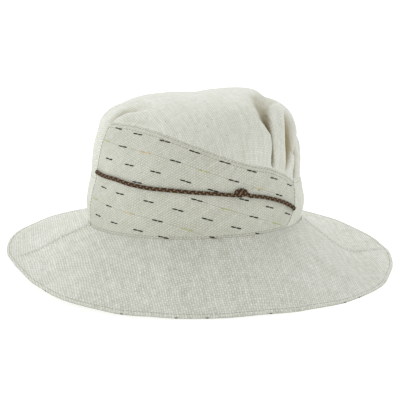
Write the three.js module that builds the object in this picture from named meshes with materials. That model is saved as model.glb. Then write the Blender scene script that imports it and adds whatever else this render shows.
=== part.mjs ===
// Soft wide-brim hat: a crown of plain and dashed cloth, gathered at its right, over a two-layer brim.
// Lengths are in millimetres. The hat faces -Y and its rim rests on Z = 0, centred on the origin.
// An azimuth is in degrees round +Z: 0 is the wearer's left side, 180 the right, 270 the front.
import * as THREE from 'three';

// Driving dimensions
const headWidth = 172.5;
const headDepth = 188;
const crownHeight = 104;
const crownTiltDegrees = 6.4;
const baseHeight = 31.3;
const brimSideWidth = 71.1;
const brimFrontWidth = 70.3;
const brimShift = 4;
const rimLift = 9;
const bandHeight = 38;
const bandRise = 3;
const bandBulge = 2.2;
const upperCrownInset = 2.5;
const panelHeight = 86;
const crownCloth = 1.5;
const upperBrimCloth = 1.2;
const underBrimCloth = 1;
const seamGap = 0.3;
const seamTuck = 3;
const cordDiameter = 3.3;
const knotDiameter = 8;
const knotLength = 8.5;
const foldDepth = 6;
const foldWidth = 9;

// Shape of the crown: roundness of its shoulder on each side, and small leans
const shoulder = { right: 4.7, back: 2.2, left: 4.5, front: 3 };
const baseRoll = 0.02;
const tipRoll = 0.074;
const bulge = { centre: 0.42, spread: 0.25 };

// Shares of the band's height between which the crown steps in over its top seam, and how far forward
// the surface turns from that step to the front panel's even taper
const stepIn = { from: 0.74, to: 1.1 };
const taperTurn = { from: 0.15, to: 0.6 };

// Sloping seam along the front panel's top: place from the left seam to the right one, and the height
// as a share of the way from the band's top up to the panel's full height
const panelTop = [
  { place: 0, rise: 0.985 },
  { place: 0.143, rise: 1 },
  { place: 0.325, rise: 0.888 },
  { place: 0.498, rise: 0.682 },
  { place: 0.633, rise: 0.489 },
  { place: 0.704, rise: 0.398 },
  { place: 0.835, rise: 0.275 },
  { place: 0.92, rise: 0.14 },
  { place: 1, rise: 0 },
];

// The front panel's side seams: azimuth at the top, and how far the foot of the seam swings outwards
const panelSeams = {
  left: { azimuth: 207.7, swing: 13.7, bend: 1.6 },
  right: { azimuth: 335.3, swing: 11.3, bend: 3.5 },
};

// The brim's side seams: azimuth at the crown and at the rim
const brimSeams = {
  left: { atCrown: 193, atRim: 194 },
  right: { atCrown: 355, atRim: 364 },
};

// Sections of the brim: reach is the share of its width over which it falls from the crown to the rim's
// level, beyond which it lies flat, and lift is the rim's height as a share of the rim's lift
const brimSections = [
  { azimuth: 0, reach: 0.5, lift: 0 },
  { azimuth: 45, reach: 0.7, lift: 0 },
  { azimuth: 90, reach: 0.9, lift: 0 },
  { azimuth: 150, reach: 0.85, lift: 0.81 },
  { azimuth: 180, reach: 0.78, lift: 1 },
  { azimuth: 195, reach: 0.76, lift: 0.95 },
  { azimuth: 225, reach: 1.1, lift: 0.59 },
  { azimuth: 255, reach: 1.3, lift: 0.13 },
  { azimuth: 270, reach: 1.3, lift: 0 },
  { azimuth: 300, reach: 1.25, lift: 0 },
  { azimuth: 322, reach: 0.8, lift: 0 },
  { azimuth: 345, reach: 0.52, lift: 0 },
];
const flatBlend = 0.25;
const slopeProbe = 0.03;

// Folds of the crown's cloth: each runs from one place to another, azimuth in degrees and climb as a
// share of the way from the base to the tip, with depth (a ridge is below 0) and width as shares of the
// fold's named depth and width at its two ends
const folds = [
  { from: [314, 0.28], to: [320, 0.52], depth: [0.75, 1], width: [0.36, 0.62] },
  { from: [320, 0.52], to: [338, 0.72], depth: [1, 0.45], width: [0.62, 1] },
  { from: [325, 0.3], to: [329, 0.5], depth: [-0.2, -0.4], width: [0.5, 0.7] },
  { from: [331, 0.24], to: [334, 0.38], depth: [0.6, 0.85], width: [0.34, 0.5] },
  { from: [334, 0.38], to: [360, 0.5], depth: [0.85, 0.4], width: [0.5, 0.9] },
  { from: [339, 0.22], to: [355, 0.35], depth: [0.4, 0.35], width: [0.4, 0.6] },
  { from: [206, 0.53], to: [232, 0.6], depth: [-0.25, -0.1], width: [0.5, 0.8] },
];
const foldSharpness = 1.5;
const foldTipFade = 3;
const meridianShare = 0.9;

// Route of the braided cord across the panel: azimuth, and height as a share of the panel's height
const cordRoute = [
  { azimuth: 204.3, rise: 0.528 },
  { azimuth: 208.5, rise: 0.52 },
  { azimuth: 217, rise: 0.508 },
  { azimuth: 226.3, rise: 0.498 },
  { azimuth: 236.6, rise: 0.476 },
  { azimuth: 247.9, rise: 0.457 },
  { azimuth: 258.5, rise: 0.448 },
  { azimuth: 267.7, rise: 0.433 },
  { azimuth: 278.3, rise: 0.415 },
  { azimuth: 288.5, rise: 0.39 },
  { azimuth: 299.8, rise: 0.362 },
  { azimuth: 309.2, rise: 0.319 },
  { azimuth: 319.6, rise: 0.262 },
  { azimuth: 327.5, rise: 0.208 },
  { azimuth: 333.2, rise: 0.151 },
];
const knotPlace = 0.69;
const knotEase = 0.06;

// Half of the knot's outline: place along it as a share of its length, and swell from hole to outside
const knotOutline = [
  { along: -0.35, swell: 0 },
  { along: -0.5, swell: 0.65 },
  { along: -0.2, swell: 1 },
];

// Fineness of the facets
const panelColumns = { wide: 15, close: 14, change: 0.66 };
const sideRows = 8;
const bandColumns = { close: 9, wide: 22, change: 0.12 };
const sideSeamColumns = 6;
const tipRows = 12;
const tipRowSpacing = 1.1;
const brimColumns = 40;
const brimRows = [0, 0.14, 0.28, 0.42, 0.56, 0.76, 1];
const cordSteps = 58;
const cordSides = 8;
const knotSides = 14;
const normalProbe = { azimuth: 0.4, climb: 0.004 };

const radians = Math.PI / 180;
const halfWidth = headWidth / 2;
const halfDepth = headDepth / 2;
const crownCentre = new THREE.Vector3(-brimShift, 0, baseHeight);
const crownTurn = new THREE.Matrix4().makeRotationX(-crownTiltDegrees * radians);

function mix(from, to, share) {
  return from + (to - from) * share;
}

function smooth(low, high, value) {
  const share = Math.min(Math.max((value - low) / (high - low), 0), 1);
  return share * share * (3 - 2 * share);
}

// Value of a column of a table at a place between its rows, along straight lines
function between(table, key, column, value) {
  const next = Math.max(table.findIndex((row) => row[key] >= value), 1);
  const [low, high] = [table[next - 1], table[next]];
  return mix(low[column], high[column], (value - low[key]) / (high[key] - low[key]));
}

// Value of a column of the brim's sections at an azimuth, eased from one section to the next
function brimValue(column, azimuth) {
  const turned = ((azimuth % 360) + 360) % 360;
  const after = brimSections.findIndex((row) => row.azimuth > turned);
  const low = brimSections.at(after - 1);
  const high = after < 0 ? brimSections[0] : brimSections[after];
  const span = (high.azimuth - low.azimuth + 360) % 360;
  return mix(low[column], high[column], smooth(0, 1, (turned - low.azimuth) / span));
}

// Band's top edge, a little higher on the wearer's right than on the left
function bandTop(azimuth) {
  return bandHeight - bandRise * Math.cos(azimuth * radians);
}

// Depth of all folds at a place of the crown, with climb from 0 at the base to 1 at the tip
function foldAt(azimuth, climb) {
  const turned = azimuth < 150 ? azimuth + 360 : azimuth;
  const acrossScale = halfWidth * radians;
  const upScale = (crownHeight + halfWidth) * meridianShare;
  let total = 0;
  for (const { from, to, depth, width } of folds) {
    const along = new THREE.Vector2((to[0] - from[0]) * acrossScale, (to[1] - from[1]) * upScale);
    const place = new THREE.Vector2((turned - from[0]) * acrossScale, (climb - from[1]) * upScale);
    const share = Math.min(Math.max(place.dot(along) / along.lengthSq(), 0), 1);
    const off = place.sub(along.multiplyScalar(share)).length();
    const spread = mix(width[0], width[1], share) * foldWidth;
    total += mix(depth[0], depth[1], share) * foldDepth * Math.exp(-((off / spread) ** 2) * foldSharpness);
  }
  return total;
}

// Outer surface of the crown at an azimuth and a climb from 0 at the base to 1 at the tip
function crownPoint(azimuth, climb) {
  const across = Math.cos(azimuth * radians);
  const along = Math.sin(azimuth * radians);
  const side = across > 0 ? shoulder.right : shoulder.left;
  const end = along > 0 ? shoulder.back : shoulder.front;
  const power = side * across ** 2 + end * along ** 2;
  const turn = climb * 90 * radians;
  const scale = (Math.cos(turn) ** power + Math.sin(turn) ** power) ** (-1 / power);
  const width = scale * Math.cos(turn);
  const rise = scale * Math.sin(turn);
  const height = rise * crownHeight;
  const oval = 1 / Math.hypot(across / halfWidth, along / halfDepth);
  const frontness = smooth(taperTurn.from, taperTurn.to, -along);
  const stepped = smooth(bandHeight * stepIn.from, bandHeight * stepIn.to, height);
  const tapered = Math.min(height / panelHeight, 1);
  const inset = upperCrownInset * mix(stepped, tapered, frontness);
  const away = (height / bandHeight - bulge.centre) / bulge.spread;
  const swell = bandBulge * Math.exp(-(away ** 2)) * (1 - frontness);
  const fold = foldAt(azimuth, climb) * Math.min(1, width * foldTipFade);
  const radius = oval * width * (1 - inset / halfWidth) + swell - fold;
  const x = radius * across;
  const z = height + baseRoll * x * (1 - rise) + tipRoll * x * rise ** 4;
  return new THREE.Vector3(x, radius * along, z).applyMatrix4(crownTurn).add(crownCentre);
}

// Climb at which the crown's surface has a given height over its base
function climbAt(azimuth, height) {
  const across = Math.cos(azimuth * radians);
  const along = Math.sin(azimuth * radians);
  const side = across > 0 ? shoulder.right : shoulder.left;
  const end = along > 0 ? shoulder.back : shoulder.front;
  const power = side * across ** 2 + end * along ** 2;
  const rise = Math.min(height / crownHeight, 0.999);
  const width = (1 - rise ** power) ** (1 / power);
  return Math.atan2(rise, width) / radians / 90;
}

// Point on the crown at a climb, or straight below its base where the height is under 0
function wallPoint(azimuth, height) {
  const point = crownPoint(azimuth, climbAt(azimuth, Math.max(height, 0)));
  point.z += Math.min(height, 0);
  return point;
}

// Unit vector out of the crown's surface
function outward(azimuth, climb) {
  const step = normalProbe.climb;
  const turn = normalProbe.azimuth;
  const low = Math.min(Math.max(climb, step), 1 - 2 * step);
  const aside = crownPoint(azimuth + turn, low).sub(crownPoint(azimuth - turn, low));
  const up = crownPoint(azimuth, low + step).sub(crownPoint(azimuth, low - step));
  return aside.cross(up).normalize();
}

// Closed body between two grids of points. Each grid is a list of rows, and the face looks along the
// cross product of the direction of its columns and that of its rows. A closed grid joins its last
// column to its first, and a pole joins all points of its last row.
function clothBody(face, back, closed = false, pole = false) {
  const vertices = [];
  const number = (grid) => grid.map((row, i) => {
    const shared = pole && i === grid.length - 1;
    const first = vertices.length;
    const points = shared ? row.slice(0, 1) : row;
    points.forEach((point) => vertices.push(point.x, point.y, point.z));
    return row.map((_, j) => first / 3 + (shared ? 0 : j));
  });
  const front = number(face);
  const rear = number(back);
  const faces = [];
  const triangle = (a, b, c) => {
    if (a !== b && b !== c && c !== a) faces.push(a, b, c);
  };
  const at = (index) => new THREE.Vector3().fromArray(vertices, 3 * index);
  const quad = (a, b, c, d) => {
    const [start, other] = at(a).distanceTo(at(c)) <= at(b).distanceTo(at(d)) ? [a, c] : [b, d];
    const [left, right] = start === a ? [b, d] : [c, a];
    triangle(start, left, other);
    triangle(start, other, right);
  };
  const rows = front.length;
  const columns = front[0].length;
  const spans = closed ? columns : columns - 1;
  for (let j = 0; j < spans; j += 1) {
    const k = (j + 1) % columns;
    for (let i = 0; i + 1 < rows; i += 1) {
      quad(front[i][j], front[i][k], front[i + 1][k], front[i + 1][j]);
      quad(rear[i][j], rear[i + 1][j], rear[i + 1][k], rear[i][k]);
    }
    quad(front[0][j], rear[0][j], rear[0][k], front[0][k]);
    if (!pole) quad(front[rows - 1][j], front[rows - 1][k], rear[rows - 1][k], rear[rows - 1][j]);
  }
  if (!closed) {
    for (let i = 0; i + 1 < rows; i += 1) {
      const last = columns - 1;
      quad(front[i][0], front[i + 1][0], rear[i + 1][0], rear[i][0]);
      quad(front[i][last], rear[i][last], rear[i + 1][last], front[i + 1][last]);
    }
  }
  const geometry = new THREE.BufferGeometry();
  geometry.setAttribute('position', new THREE.Float32BufferAttribute(vertices, 3));
  geometry.setIndex(faces);
  return geometry;
}

// Grid of a list of columns: the maker gives the outer and the inner point of a row
function gridOf(columns, rows, maker) {
  const face = rows.map(() => []);
  const back = rows.map(() => []);
  for (const column of columns) {
    rows.forEach((row, i) => {
      const [outer, inner] = maker(column, row);
      face[i].push(outer);
      back[i].push(inner);
    });
  }
  return [face, back];
}

function steps(count) {
  return Array.from({ length: count + 1 }, (_, i) => i / count);
}

// Outer and inner point of the crown's cloth
function clothAt(azimuth, height) {
  const outer = wallPoint(azimuth, height);
  const normal = outward(azimuth, climbAt(azimuth, Math.max(height, 0)));
  return [outer, outer.clone().addScaledVector(normal, -crownCloth)];
}

// Azimuth of one of the panel's side seams at a height over the base
function seamAzimuth(seam, height, top) {
  const below = Math.max(1 - height / top, 0);
  return seam.azimuth - seam.swing * below ** seam.bend;
}

const leftSeam = (height) => seamAzimuth(panelSeams.left, height, panelHeight);
const rightSeam = (height) => seamAzimuth(panelSeams.right, height, bandHeight);
const degreesPerMillimetre = 1 / (halfWidth * radians);
const halfGap = (seamGap / 2) * degreesPerMillimetre;

// Height of the panel's sloping top seam at a place from its left seam to its right one
function panelTopHeight(place) {
  const right = bandTop(panelSeams.right.azimuth);
  return mix(right, panelHeight, between(panelTop, 'place', 'rise', place));
}

function panelAzimuth(place, height) {
  return mix(leftSeam(height), rightSeam(height), place);
}

// Places of the columns, closer together near the gathers at the panel's right
function unevenSteps(first, firstCount, secondCount) {
  const low = steps(firstCount).map((share) => share * first);
  const high = steps(secondCount).slice(1).map((share) => mix(first, 1, share));
  return [...low, ...high];
}

const panelPlaces = unevenSteps(panelColumns.change, panelColumns.wide, panelColumns.close);
const bandPlaces = unevenSteps(bandColumns.change, bandColumns.close, bandColumns.wide);

function frontPanel() {
  const maker = (place, row) => {
    const height = mix(-seamTuck, panelTopHeight(place), row);
    const azimuth = panelAzimuth(place, height);
    const inset = mix(halfGap, -halfGap, place);
    return clothAt(azimuth + inset, height);
  };
  return clothBody(...gridOf(panelPlaces, steps(sideRows), maker));
}

// Azimuth on the band, which runs round the back from the panel's right seam to its left one
function bandAzimuth(place, height) {
  return mix(rightSeam(height) + halfGap, leftSeam(height) + 360 - halfGap, place);
}

function backBand() {
  const maker = (place, row) => {
    const top = bandTop(bandAzimuth(place, bandHeight));
    const height = mix(-seamTuck, top, row);
    return clothAt(bandAzimuth(place, height), height);
  };
  return clothBody(...gridOf(bandPlaces, steps(sideRows), maker));
}

// Lower edge of the upper crown, going round along the band, up the panel's left seam and down its top
function tipEdge() {
  const edge = [];
  const bandLeft = bandTop(bandAzimuth(1, bandHeight));
  for (const place of bandPlaces) {
    const azimuth = bandAzimuth(place, bandHeight);
    edge.push({ azimuth: azimuth - 360, height: bandTop(azimuth) + seamGap });
  }
  for (const share of steps(sideSeamColumns).slice(1, -1)) {
    const height = mix(bandLeft, panelTopHeight(0), share);
    edge.push({ azimuth: leftSeam(height) - halfGap, height: height + seamGap });
  }
  for (const place of panelPlaces.slice(0, -1)) {
    const height = panelTopHeight(place);
    const inset = place === 0 ? -halfGap : 0;
    edge.push({ azimuth: panelAzimuth(place, height) + inset, height: height + seamGap });
  }
  return edge;
}

function crownTip() {
  const maker = ({ azimuth, height }, row) => {
    const climb = mix(climbAt(azimuth, height), 1, row ** tipRowSpacing);
    const outer = crownPoint(azimuth, climb);
    return [outer, outer.clone().addScaledVector(outward(azimuth, climb), -crownCloth)];
  };
  const [face, back] = gridOf(tipEdge(), steps(tipRows), maker);
  const tip = crownPoint(270, 1);
  const below = tip.clone().add(new THREE.Vector3(0, 0, -crownCloth).applyMatrix4(crownTurn));
  face[tipRows] = face[tipRows].map(() => tip);
  back[tipRows] = back[tipRows].map(() => below);
  return clothBody(face, back, true, true);
}

const brimCloth = underBrimCloth + seamGap + upperBrimCloth;

// Share of the fall from the crown to the rim at a share of the brim's width
function fallAt(azimuth, share) {
  const reach = brimValue('reach', azimuth);
  const fall = (value) => {
    const over = Math.min(Math.max(value - 1 + flatBlend, 0), 2 * flatBlend);
    return Math.min(value, 1 + flatBlend) - over ** 2 / (4 * flatBlend);
  };
  return Math.min(fall(share / reach) / fall(1 / reach), 1);
}

// Underside of the brim at an azimuth and a share of the way from the crown to the rim
function brimUnderside(azimuth, share) {
  const across = Math.cos(azimuth * radians);
  const along = Math.sin(azimuth * radians);
  const base = wallPoint(azimuth, 0);
  const start = base.clone().add(new THREE.Vector3(across, along, 0).multiplyScalar(seamGap));
  const rimX = (halfWidth + brimSideWidth) * across;
  const rimY = (halfDepth + brimFrontWidth) * along;
  const rimZ = rimLift * brimValue('lift', azimuth);
  const z = mix(start.z - brimCloth, rimZ, fallAt(azimuth, share));
  return new THREE.Vector3(mix(start.x, rimX, share), mix(start.y, rimY, share), z);
}

// A cloth layer of the brim between two depths measured square to its slope
function brimLayer(azimuth, share, low, high) {
  const inner = brimUnderside(azimuth, Math.max(share - slopeProbe, 0));
  const outer = brimUnderside(azimuth, Math.min(share + slopeProbe, 1));
  const run = Math.hypot(outer.x - inner.x, outer.y - inner.y);
  const steepness = Math.hypot(1, (outer.z - inner.z) / run);
  const point = brimUnderside(azimuth, share);
  return [low, high].map((depth) => point.clone().setZ(point.z + depth * steepness));
}

// Columns of the brim's front or back half, from the seam at one side to the seam at the other
function halfColumns(from, to, turn) {
  return steps(brimColumns).map((place) => ({ from, to, turn, place }));
}

function brimAzimuth({ from, to, turn, place }, share) {
  const start = mix(from.atCrown, from.atRim, share);
  return mix(start, mix(to.atCrown, to.atRim, share) + turn, place);
}

const frontColumns = halfColumns(brimSeams.left, brimSeams.right, 0);
const backColumns = halfColumns(brimSeams.right, brimSeams.left, 360);

function underBrim() {
  const columns = [...frontColumns.slice(0, -1), ...backColumns.slice(0, -1)];
  const maker = (column, share) => brimLayer(brimAzimuth(column, share), share, 0, underBrimCloth);
  return clothBody(...gridOf(columns, brimRows, maker), true);
}

function brimHalf(columns) {
  const maker = (column, share) => {
    const inset = column.place === 0 ? halfGap : 0;
    const trim = column.place === 1 ? halfGap : 0;
    const azimuth = brimAzimuth(column, share) + inset - trim;
    return brimLayer(azimuth, share, underBrimCloth + seamGap, brimCloth);
  };
  return clothBody(...gridOf(columns, brimRows, maker));
}

// The cord lies on the panel, lifted where its knot passes between it and the cloth
const cordRadius = cordDiameter / 2;
const knotRadius = knotDiameter / 2;

function cordPath() {
  const flat = cordRoute.map(({ azimuth, rise }) => new THREE.Vector3(azimuth, rise * panelHeight, 0));
  const route = new THREE.CatmullRomCurve3(flat, false, 'centripetal');
  const points = steps(cordSteps).map((share) => {
    const { x: azimuth, y: height } = route.getPoint(share);
    const near = Math.exp(-(((share - knotPlace) / knotEase) ** 2));
    const off = mix(cordRadius, knotRadius, near) + seamGap;
    return wallPoint(azimuth, height).addScaledVector(outward(azimuth, climbAt(azimuth, height)), off);
  });
  return new THREE.CatmullRomCurve3(points, false, 'centripetal');
}

function braidedCord(path) {
  const section = new THREE.Shape();
  for (let side = 0; side < cordSides; side += 1) {
    const turn = (side / cordSides) * 2 * Math.PI;
    const draw = side === 0 ? 'moveTo' : 'lineTo';
    section[draw](cordRadius * Math.cos(turn), cordRadius * Math.sin(turn));
  }
  section.closePath();
  return new THREE.ExtrudeGeometry(section, { steps: cordSteps, extrudePath: path, bevelEnabled: false });
}

// Ring round the cord, as the loop of its overhand knot
function cordKnot() {
  const hole = cordRadius + seamGap;
  const point = (along, swell) => new THREE.Vector2(mix(hole, knotRadius, swell), along * knotLength);
  const low = knotOutline.map(({ along, swell }) => point(along, swell));
  const high = knotOutline.map(({ along, swell }) => point(-along, swell)).reverse();
  return new THREE.LatheGeometry([...low, ...high, low[0].clone()], knotSides);
}

const colours = {
  plain: 0xbfc0ae,
  pale: 0xcfd1c4,
  dashed: 0xb9bbac,
  braid: 0x4a3a2a,
};

function named(name, geometry, color, roughness) {
  const material = new THREE.MeshStandardMaterial({ color, roughness, metalness: 0 });
  const mesh = new THREE.Mesh(geometry, material);
  mesh.name = name;
  return mesh;
}

const path = cordPath();
const knot = named('cord_knot', cordKnot(), colours.braid, 0.8);
knot.position.copy(path.getPoint(knotPlace));
knot.quaternion.setFromUnitVectors(new THREE.Vector3(0, 1, 0), path.getTangent(knotPlace));

const hat = new THREE.Group();
hat.add(
  named('crown_top', crownTip(), colours.pale, 0.95),
  named('front_panel', frontPanel(), colours.dashed, 0.95),
  named('back_band', backBand(), colours.pale, 0.95),
  named('brim_front', brimHalf(frontColumns), colours.plain, 0.95),
  named('brim_back', brimHalf(backColumns), colours.pale, 0.95),
  named('underbrim', underBrim(), colours.dashed, 0.95),
  named('braided_cord', braidedCord(path), colours.braid, 0.8),
  knot,
);

export default hat;
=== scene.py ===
import math

import bpy
import numpy as np
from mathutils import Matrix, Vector


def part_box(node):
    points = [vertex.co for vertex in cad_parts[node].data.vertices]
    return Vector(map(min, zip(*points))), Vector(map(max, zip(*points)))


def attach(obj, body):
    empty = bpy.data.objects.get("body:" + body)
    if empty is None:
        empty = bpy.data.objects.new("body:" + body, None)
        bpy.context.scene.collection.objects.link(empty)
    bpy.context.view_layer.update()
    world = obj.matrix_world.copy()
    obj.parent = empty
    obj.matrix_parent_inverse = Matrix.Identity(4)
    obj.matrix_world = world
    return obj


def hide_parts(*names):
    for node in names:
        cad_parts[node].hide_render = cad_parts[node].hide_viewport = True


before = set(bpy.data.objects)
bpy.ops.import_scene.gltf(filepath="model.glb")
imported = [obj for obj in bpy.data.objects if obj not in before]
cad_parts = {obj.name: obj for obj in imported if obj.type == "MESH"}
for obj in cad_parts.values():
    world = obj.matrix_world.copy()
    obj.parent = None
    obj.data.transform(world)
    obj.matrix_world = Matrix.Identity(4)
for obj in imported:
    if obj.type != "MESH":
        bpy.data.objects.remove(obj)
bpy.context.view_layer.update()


def named(columns, rows):
    """Rows of values as dictionaries, with the names of their columns given once."""
    names = columns.split()
    return [dict(zip(names, row)) for row in rows]


# Driving dimensions, the same as the part's
HEAD_WIDTH = 172.5
HEAD_DEPTH = 188
CROWN_HEIGHT = 104
CROWN_TILT = 6.4
BASE_HEIGHT = 31.3
BRIM_SIDE_WIDTH = 71.1
BRIM_FRONT_WIDTH = 70.3
BRIM_SHIFT = 4
RIM_LIFT = 9
BAND_HEIGHT = 38
BAND_RISE = 3
BAND_BULGE = 2.2
UPPER_CROWN_INSET = 2.5
PANEL_HEIGHT = 86
CROWN_CLOTH = 1.5
UPPER_BRIM_CLOTH = 1.2
UNDER_BRIM_CLOTH = 1
SEAM_GAP = 0.3
SEAM_TUCK = 3
CORD_DIAMETER = 3.3

SHOULDER = {"right": 4.7, "back": 2.2, "left": 4.5, "front": 3}
BASE_ROLL = 0.02
TIP_ROLL = 0.074
BULGE_CENTRE = 0.42
BULGE_SPREAD = 0.25
STEP_IN = (0.74, 1.1)
TAPER_TURN = (0.15, 0.6)

PANEL_TOP = named("place rise", [
    (0, 0.985),
    (0.143, 1),
    (0.325, 0.888),
    (0.498, 0.682),
    (0.633, 0.489),
    (0.704, 0.398),
    (0.835, 0.275),
    (0.92, 0.14),
    (1, 0),
])
LEFT_SEAM = {"azimuth": 207.7, "swing": 13.7, "bend": 1.6, "top": PANEL_HEIGHT}
RIGHT_SEAM = {"azimuth": 335.3, "swing": 11.3, "bend": 3.5, "top": BAND_HEIGHT}
BRIM_SEAMS = {"left": (193, 194), "right": (355, 364)}
BRIM_SECTIONS = named("azimuth reach lift", [
    (0, 0.5, 0),
    (45, 0.7, 0),
    (90, 0.9, 0),
    (150, 0.85, 0.81),
    (180, 0.78, 1),
    (195, 0.76, 0.95),
    (225, 1.1, 0.59),
    (255, 1.3, 0.13),
    (270, 1.3, 0),
    (300, 1.25, 0),
    (322, 0.8, 0),
    (345, 0.52, 0),
])
FLAT_BLEND = 0.25
SLOPE_PROBE = 0.03
# The rim stays this far over the surface that the hat rests on
RIM_CLEARANCE = 0.12
# Sway of the cloth's rim from its plain oval: how far it goes out from it, and up
RIM_SWAY = named("azimuth out up", [
    (0, -1, 0),
    (12, -4, 0),
    (28, -6, 0),
    (42, -4, 0),
    (60, -2, 0),
    (100, -2, 0),
    (135, -1, -2),
    (152, 0, -2),
    (170, 0.4, -0.6),
    (188, 0, -0.2),
    (197, -1.8, 0),
    (206, -2.2, 0),
    (217, 0, 0),
    (231, 4, -0.6),
    (245, 2, -0.2),
    (258, -1.5, 0.2),
    (272, -3.5, 0.6),
    (287, -4, 1),
    (300, -1, 0.4),
    (315, 3.6, 0),
    (330, 4.6, 0),
    (345, 0.8, 0),
])

# Folds of the upper crown, each a line of places with the fold's depth (a ridge is below 0) and its
# spread to the left and right of the line. The lip is how far its right side leans over it, and the
# shade is how strongly painted shade darkens its cloth there, in place of the fold's shadow.
FOLD_COLUMNS = "azimuth climb depth left right lip shade"
FOLDS = {
    "first valley": named(FOLD_COLUMNS, [
        (314.4, 0.284, 0.3, 1, 0.8, 0, 1),
        (315.2, 0.3, 3.4, 2, 1.3, 0, 1),
        (316.1, 0.328, 4.6, 2.4, 1.4, 0.2, 1),
        (317.8, 0.377, 3, 1.8, 1.1, 0.8, 1),
        (319.1, 0.416, 3.6, 2.4, 1.2, 1.1, 1),
        (319.9, 0.443, 5.6, 6.5, 1.4, 1.2, 0.95),
        (321.2, 0.476, 6.8, 12, 1.6, 1, 0.85),
        (325.2, 0.525, 7, 15, 2, 0.6, 0.65),
        (333, 0.564, 6.8, 17, 3.4, 0.2, 0.45),
        (348, 0.584, 5.8, 14, 9, 0, 0.3),
        (366, 0.589, 4.6, 11, 13, 0, 0.2),
        (384, 0.592, 2.8, 10, 12, 0, 0.15),
        (402, 0.59, 0, 9, 10, 0, 0),
    ]),
    "first ridge": named(FOLD_COLUMNS, [
        (320.5, 0.27, 0, 3, 4, 0, 0),
        (322.4, 0.31, -0.8, 3.2, 4, 0, 0),
        (325, 0.38, -0.9, 3.6, 4, 0, 0),
        (330, 0.45, -1.2, 4.5, 5, 0, 0),
        (338, 0.505, -1.8, 6, 6, 0, 0),
        (352, 0.53, -1.2, 7, 7, 0, 0),
        (368, 0.54, 0, 8, 8, 0, 0),
    ]),
    "second valley": named(FOLD_COLUMNS, [
        (325.6, 0.256, 0.3, 1, 1.4, 0, 1),
        (326.6, 0.276, 3.4, 1.4, 3.4, 0, 1),
        (328, 0.304, 5.6, 1.8, 7.5, 0, 1),
        (329.2, 0.33, 7, 2.1, 11, 0, 1),
        (330.4, 0.36, 8, 2.4, 15, 0, 1),
        (332, 0.385, 8, 2.8, 18, 0, 1),
        (335.4, 0.41, 6.6, 3.6, 20, 0, 1),
        (340, 0.432, 5.2, 5, 19, 0, 1),
        (347, 0.45, 3.8, 6.5, 16, 0, 0.9),
        (356, 0.468, 2, 8, 12, 0, 0.6),
        (368, 0.48, 0, 8, 9, 0, 0),
    ]),
    "second ridge": named(FOLD_COLUMNS, [
        (345, 0.33, 0, 3, 4, 0, 0),
        (352, 0.365, -1.4, 6, 7, 0, 0),
        (358, 0.405, -2.8, 8, 10, 0, 0),
        (367, 0.44, -3, 10, 12, 0, 0),
        (390, 0.475, 0, 12, 12, 0, 0),
    ]),
    "third valley": named(FOLD_COLUMNS, [
        (334.4, 0.2, 0.4, 1, 1, 0, 1),
        (338.4, 0.236, 3.8, 2.4, 5, 0, 1),
        (342.6, 0.268, 5.8, 2.6, 8, 0, 1),
        (347.4, 0.31, 5.4, 3, 9, 0, 1),
        (354, 0.34, 3.4, 4, 9, 0, 0.9),
        (364, 0.36, 0, 4, 6, 0, 0),
    ]),
    "third ridge": named(FOLD_COLUMNS, [
        (345, 0.19, 0, 4, 6, 0, 0),
        (353, 0.235, -1.6, 5, 8, 0, 0),
        (359, 0.28, -2.6, 5, 9, 0, 0),
        (368, 0.335, -3.4, 7, 11, 0, 0),
        (382, 0.39, 0, 8, 12, 0, 0),
    ]),
    "shoulder crease": named(FOLD_COLUMNS, [
        (204, 0.4, 0, 4, 1.8, 0, 0.5),
        (205.6, 0.45, 1.8, 8, 2, 0, 0.6),
        (207, 0.495, 3.2, 11, 2, 0.2, 0.65),
        (208.2, 0.52, 4, 13, 2.2, 0.3, 0.6),
        (211, 0.547, 3.8, 14, 2.6, 0.2, 0.55),
        (216, 0.575, 3, 13, 3.2, 0, 0.5),
        (226, 0.605, 1.8, 12, 4.5, 0, 0.4),
        (240, 0.63, 0, 10, 6, 0, 0),
    ]),
    "outer ridge": named(FOLD_COLUMNS, [
        (160, 0.38, 0, 6, 5, 0, 0),
        (174, 0.44, -1.2, 7, 6, 0, 0),
        (180, 0.49, -2.2, 8, 6, 0, 0),
        (185, 0.54, -1.6, 8, 5, 0, 0),
        (193, 0.6, -0.8, 7, 5, 0, 0),
        (210, 0.66, 0, 6, 6, 0, 0),
    ]),
    "corner hollow": named(FOLD_COLUMNS, [
        (209, 0.46, 0, 3, 4, 0, 0.3),
        (215, 0.485, 1.6, 5, 7, 0, 0.5),
        (224, 0.505, 2.2, 6, 9, 0, 0.5),
        (236, 0.515, 1.8, 7, 11, 0, 0.4),
        (252, 0.5, 0, 8, 12, 0, 0.2),
    ]),
    "shoulder ridge": named(FOLD_COLUMNS, [
        (207, 0.44, 0, 3, 4, 0, 0),
        (211.5, 0.505, -1.2, 2.4, 6, 0, 0),
        (217, 0.55, -1.2, 3, 8, 0, 0),
        (228, 0.6, -0.6, 6, 9, 0, 0),
        (240, 0.62, 0, 7, 9, 0, 0),
    ]),
}
FOLD_SHAPE = ("depth", "left", "right", "lip", "shade")
FOLD_SHARPNESS = 1.5
# Depths of a fold between which its painted shade sets in, and heights over the crown's seam between which
# its folds do
CREASE_DEPTHS = (0.2, 4)
SEAM_FADE = (-1, 4)
# Length of the crown's surface from base to tip, as a share of its height and half width together
MERIDIAN_SHARE = 0.9
# Where the panel and the folds have to lie in one turn, azimuths run from this one once round
FIRST_AZIMUTH = 150
FRONT = 270
# Steps over which the crown's outward direction is measured
AZIMUTH_PROBE = 0.4
CLIMB_PROBE = 0.004

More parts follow.
